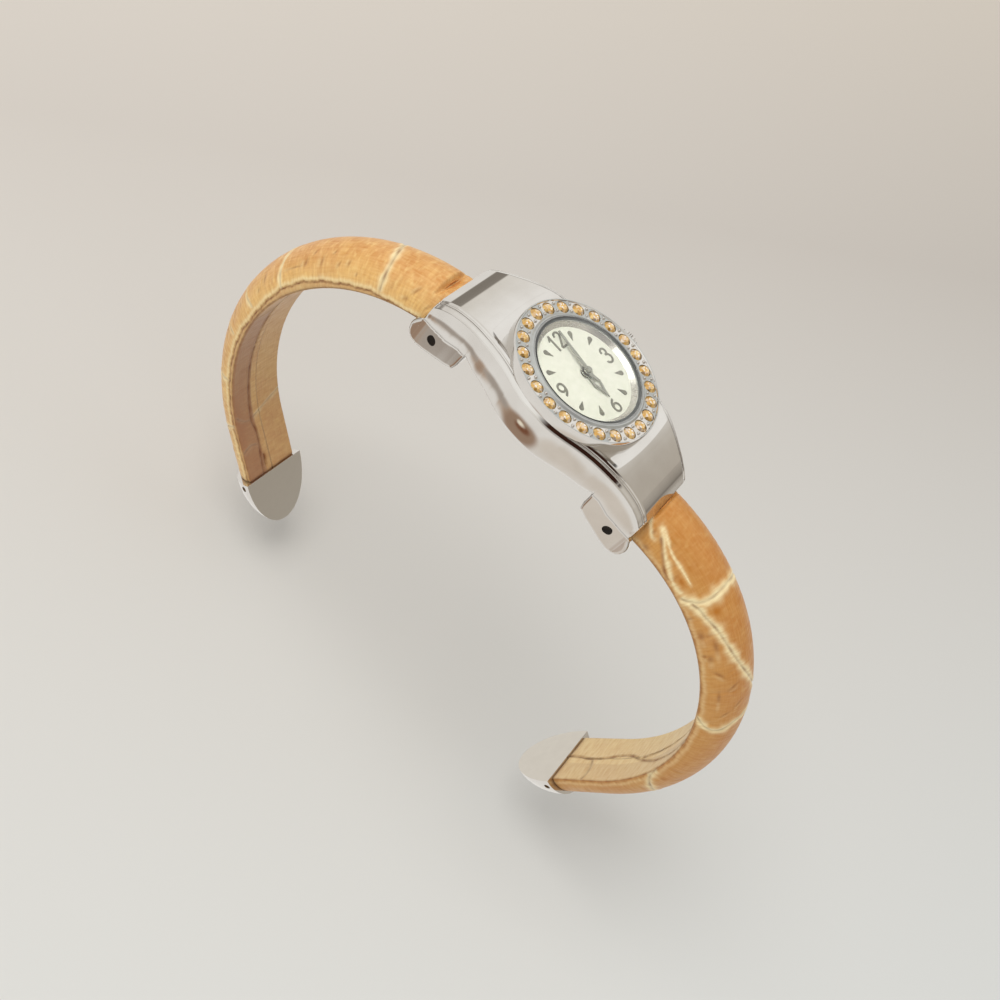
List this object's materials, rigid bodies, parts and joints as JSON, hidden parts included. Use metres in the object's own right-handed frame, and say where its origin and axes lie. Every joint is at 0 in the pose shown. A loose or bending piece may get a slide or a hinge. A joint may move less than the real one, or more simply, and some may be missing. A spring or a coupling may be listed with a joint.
{
  "type": "cuff watch",
  "caption": "Ladies' cuff watch: polished case with a stone-set bezel, lugged to two hinged leather-covered arms that end in metal caps, open between the caps.",
  "frame": {"origin": "middle of the wrist opening, on the dial's axis", "axes": "+Z out of the dial, +Y to 12 o'clock along the cuff, +X to 3 o'clock and the crown"},
  "size_m": [0.0221, 0.082, 0.0597],
  "materials": {
    "polished_steel": "mirror polished",
    "stones": "faceted",
    "crystal_glass": "clear",
    "black_gasket": "matt",
    "grey_gasket": "matt",
    "dial_ring_silver": "satin",
    "dial_cream": "satin",
    "dial_print": "satin",
    "hand_steel": "satin",
    "brass": "satin",
    "movement_steel": "satin",
    "magnet": "satin",
    "copper_wire": "satin",
    "board_green": "matt",
    "chip_black": "matt",
    "holder_plastic": "matt",
    "pin_steel": "satin",
    "core_steel": "satin",
    "padding": "felt",
    "leather": "satin, embossed",
    "cap_steel": "polished"
  },
  "bodies": {
    "case": {"case_body": "polished_steel", "bezel": "polished_steel", "bezel_stones": "stones", "crystal": "crystal_glass", "crystal_gasket": "grey_gasket", "dial_ring": "dial_ring_silver", "dial": "dial_cream", "dial_marks": "dial_print", "main_plate": "brass", "train_bridge": "movement_steel", "stator": "movement_steel", "coil_core": "movement_steel", "coil_winding": "copper_wire", "circuit_board": "board_green", "circuit_chip": "chip_black", "quartz_can": "movement_steel", "battery": "movement_steel", "battery_clamp": "movement_steel", "movement_screws": "movement_steel", "clutch_yoke": "movement_steel", "crown_tube": "movement_steel", "movement_ring": "holder_plastic", "case_back": "polished_steel", "case_back_gasket": "black_gasket", "hinge_pin_12": "pin_steel", "hinge_pin_6": "pin_steel"},
    "minute": {"minute_hand": "hand_steel", "minute_cap": "hand_steel", "centre_arbor": "brass", "centre_wheel": "brass"},
    "hour": {"hour_hand": "hand_steel", "hour_wheel": "brass"},
    "minute_work": {"minute_wheel": "brass"},
    "setting_work": {"setting_wheel": "movement_steel"},
    "third": {"third_wheel": "brass"},
    "rotor_body": {"rotor": "magnet"},
    "clutch": {"clutch_wheel": "movement_steel"},
    "crown_body": {"crown": "polished_steel", "stem": "movement_steel", "crown_gasket": "black_gasket"},
    "arm_12": {"knuckle_12": "pin_steel", "hinge_washers_12": "brass", "arm_core_12": "core_steel", "arm_padding_12": "padding", "leather_12": "leather", "end_cap_12": "cap_steel"},
    "arm_6": {"knuckle_6": "pin_steel", "hinge_washers_6": "brass", "arm_core_6": "core_steel", "arm_padding_6": "padding", "leather_6": "leather", "end_cap_6": "cap_steel"}
  },
  "joints": [
    {"name": "minute_turn", "type": "hinge", "parent": "case", "child": "minute", "pos_m": [0, 0, 0.031], "axis": [0, 0, 1], "continuous": true},
    {"name": "hour_turn", "type": "hinge", "parent": "case", "child": "hour", "pos_m": [0, 0, 0.031], "axis": [0, 0, 1], "continuous": true},
    {"name": "minute_wheel_turn", "type": "hinge", "parent": "case", "child": "minute_work", "pos_m": [0.00157, -0.0011, 0.0304], "axis": [0, 0, 1], "continuous": true},
    {"name": "setting_wheel_turn", "type": "hinge", "parent": "case", "child": "setting_work", "pos_m": [0.00374, -0.00168, 0.0304], "axis": [0, 0, 1], "continuous": true},
    {"name": "third_wheel_turn", "type": "hinge", "parent": "case", "child": "third", "pos_m": [0.00115, 0.00247, 0.0292], "axis": [0, 0, 1], "continuous": true},
    {"name": "rotor_turn", "type": "hinge", "parent": "case", "child": "rotor_body", "pos_m": [-0.00134, 0.00391, 0.029], "axis": [0, 0, 1], "continuous": true},
    {"name": "crown_turn", "type": "hinge", "parent": "case", "child": "clutch", "pos_m": [0.004, 0, 0.0291], "axis": [1, 0, 0], "continuous": true},
    {"name": "crown_pull", "type": "slide", "parent": "clutch", "child": "crown_body", "axis": [1, 0, 0], "range_m": [0, 0.0008]},
    {"name": "arm_12_hinge", "type": "hinge", "parent": "case", "child": "arm_12", "pos_m": [0, 0.014, 0.0237], "axis": [1, 0, 0], "range_deg": [-1.25, 19.75]},
    {"name": "arm_6_hinge", "type": "hinge", "parent": "case", "child": "arm_6", "pos_m": [0, -0.014, 0.0237], "axis": [-1, 0, 0], "range_deg": [-20, 1]}
  ],
  "couplings": [
    {"joint": "hour_turn", "follows": "minute_turn", "ratio": 0.083333},
    {"joint": "minute_wheel_turn", "follows": "minute_turn", "ratio": -0.33333},
    {"joint": "setting_wheel_turn", "follows": "minute_turn", "ratio": 0.6},
    {"joint": "third_wheel_turn", "follows": "minute_turn", "ratio": -7.5},
    {"joint": "rotor_turn", "follows": "minute_turn", "ratio": 60}
  ]
}
